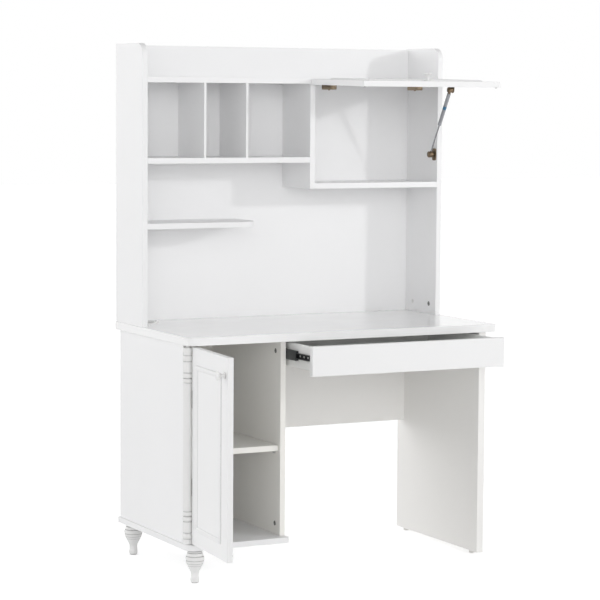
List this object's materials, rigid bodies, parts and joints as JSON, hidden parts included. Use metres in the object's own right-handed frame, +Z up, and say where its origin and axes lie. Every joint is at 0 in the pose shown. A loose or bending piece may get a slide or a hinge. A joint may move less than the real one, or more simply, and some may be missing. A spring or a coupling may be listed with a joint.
{
  "type": "student desk with hutch",
  "caption": "Desk with a door cabinet on turned feet, a corner column, a drawer and a hutch of shelves, pigeonholes and a strut-held lift-up flap.",
  "frame": {"origin": "on the floor, at the middle of the overall width and depth with the door, the drawer and the flap as stored", "axes": "+X to the sitter's right along the desk's length, +Y to the back towards the wall, +Z up"},
  "size_m": [1.1206, 0.8566, 1.645],
  "materials": {
    "white_lacquer": "white satin lacquer on board and turned wood",
    "white_plastic": "white moulded plastic",
    "soft_bumper": "clear soft bumper",
    "zinc_fitting": "zinc die-cast",
    "slide_steel": "zinc-plated rolled steel",
    "screw_steel": "plated screws",
    "nickel_hinge": "nickel-plated",
    "bronze_fitting": "antique bronze plating",
    "strut_tube_grey": "grey paint",
    "strut_rod_steel": "hard-chromed rod"
  },
  "bodies": {
    "desk_and_hutch": {"desktop": "white_lacquer", "cable_grommet_liner": "white_plastic", "cable_grommet_cap": "white_plastic", "base_board": "white_lacquer", "front_left_foot": "white_lacquer", "back_left_foot": "white_lacquer", "corner_column": "white_lacquer", "cabinet_left_side": "white_lacquer", "cabinet_divider": "white_lacquer", "cabinet_back_panel": "white_lacquer", "cabinet_shelf": "white_lacquer", "shelf_pins": "zinc_fitting", "desk_cam_locks": "zinc_fitting", "right_leg_panel": "white_lacquer", "leg_glides": "white_plastic", "modesty_panel": "white_lacquer", "door_hinge_cabinet_leaves": "nickel_hinge", "door_hinge_screws": "screw_steel", "slide_cabinet_members": "slide_steel", "hutch_left_side": "white_lacquer", "hutch_right_side": "white_lacquer", "hutch_back_panel": "white_lacquer", "hutch_top_shelf": "white_lacquer", "hutch_partition": "white_lacquer", "hutch_cam_locks": "zinc_fitting", "pigeonhole_shelf": "white_lacquer", "pigeonhole_divider_left": "white_lacquer", "pigeonhole_divider_right": "white_lacquer", "flap_compartment_floor": "white_lacquer", "corner_shelf": "white_lacquer", "flap_hinge_arms": "bronze_fitting", "strut_lower_bracket": "bronze_fitting"},
    "door": {"door_panel": "white_lacquer", "door_moulding": "white_lacquer", "door_knob": "white_lacquer", "door_knob_screw": "screw_steel", "door_hinge_leaves": "nickel_hinge", "door_bumpers": "soft_bumper"},
    "drawer": {"drawer_front": "white_lacquer", "drawer_left_side": "white_lacquer", "drawer_right_side": "white_lacquer", "drawer_back": "white_lacquer", "drawer_bottom": "white_lacquer", "slide_drawer_members": "slide_steel", "slide_screws": "screw_steel"},
    "left_slide": {"left_slide_middle_member": "slide_steel"},
    "right_slide": {"right_slide_middle_member": "slide_steel"},
    "flap": {"flap_panel": "white_lacquer", "flap_moulding": "white_lacquer", "flap_knob": "white_lacquer", "flap_knob_screw": "screw_steel", "flap_hinge_cups": "bronze_fitting", "flap_bumpers": "soft_bumper", "strut_upper_bracket": "bronze_fitting"},
    "strut_tube": {"strut_upper_end": "bronze_fitting", "strut_cylinder": "strut_tube_grey"},
    "strut_piston": {"strut_rod": "strut_rod_steel", "strut_lower_end": "bronze_fitting"}
  },
  "joints": [
    {"name": "door_hinge", "type": "hinge", "parent": "desk_and_hutch", "child": "door", "pos_m": [-0.5012, -0.11965, 0.121], "axis": [0, 0, -1], "range_deg": [-95, 15]},
    {"name": "drawer_slide", "type": "slide", "parent": "desk_and_hutch", "child": "drawer", "axis": [0, -1, 0], "range_m": [-0.154, 0.246]},
    {"name": "left_slide_travel", "type": "slide", "parent": "desk_and_hutch", "child": "left_slide", "axis": [0, -1, 0], "range_m": [-0.077, 0.123]},
    {"name": "right_slide_travel", "type": "slide", "parent": "desk_and_hutch", "child": "right_slide", "axis": [0, -1, 0], "range_m": [-0.077, 0.123]},
    {"name": "flap_hinge", "type": "hinge", "parent": "desk_and_hutch", "child": "flap", "pos_m": [0.5263, 0.20035, 1.5302], "axis": [-1, 0, 0], "range_deg": [-89, 0]},
    {"name": "strut_upper_pivot", "type": "hinge", "parent": "flap", "child": "strut_tube", "pos_m": [0.5263, 0.11075, 1.50663], "axis": [-1, 0, 0], "range_deg": [0, 114.32]},
    {"name": "strut_stroke", "type": "slide", "parent": "strut_tube", "child": "strut_piston", "axis": [0, 0.499, -0.8666], "range_m": [-0.09909, 0]}
  ],
  "couplings": [
    {"joint": "left_slide_travel", "follows": "drawer_slide", "ratio": 0.5},
    {"joint": "right_slide_travel", "follows": "drawer_slide", "ratio": 0.5},
    {"joint": "strut_upper_pivot", "follows": "flap_hinge", "ratio": -1.2844},
    {"joint": "strut_stroke", "follows": "flap_hinge", "m_per_rad": 0.063729}
  ]
}
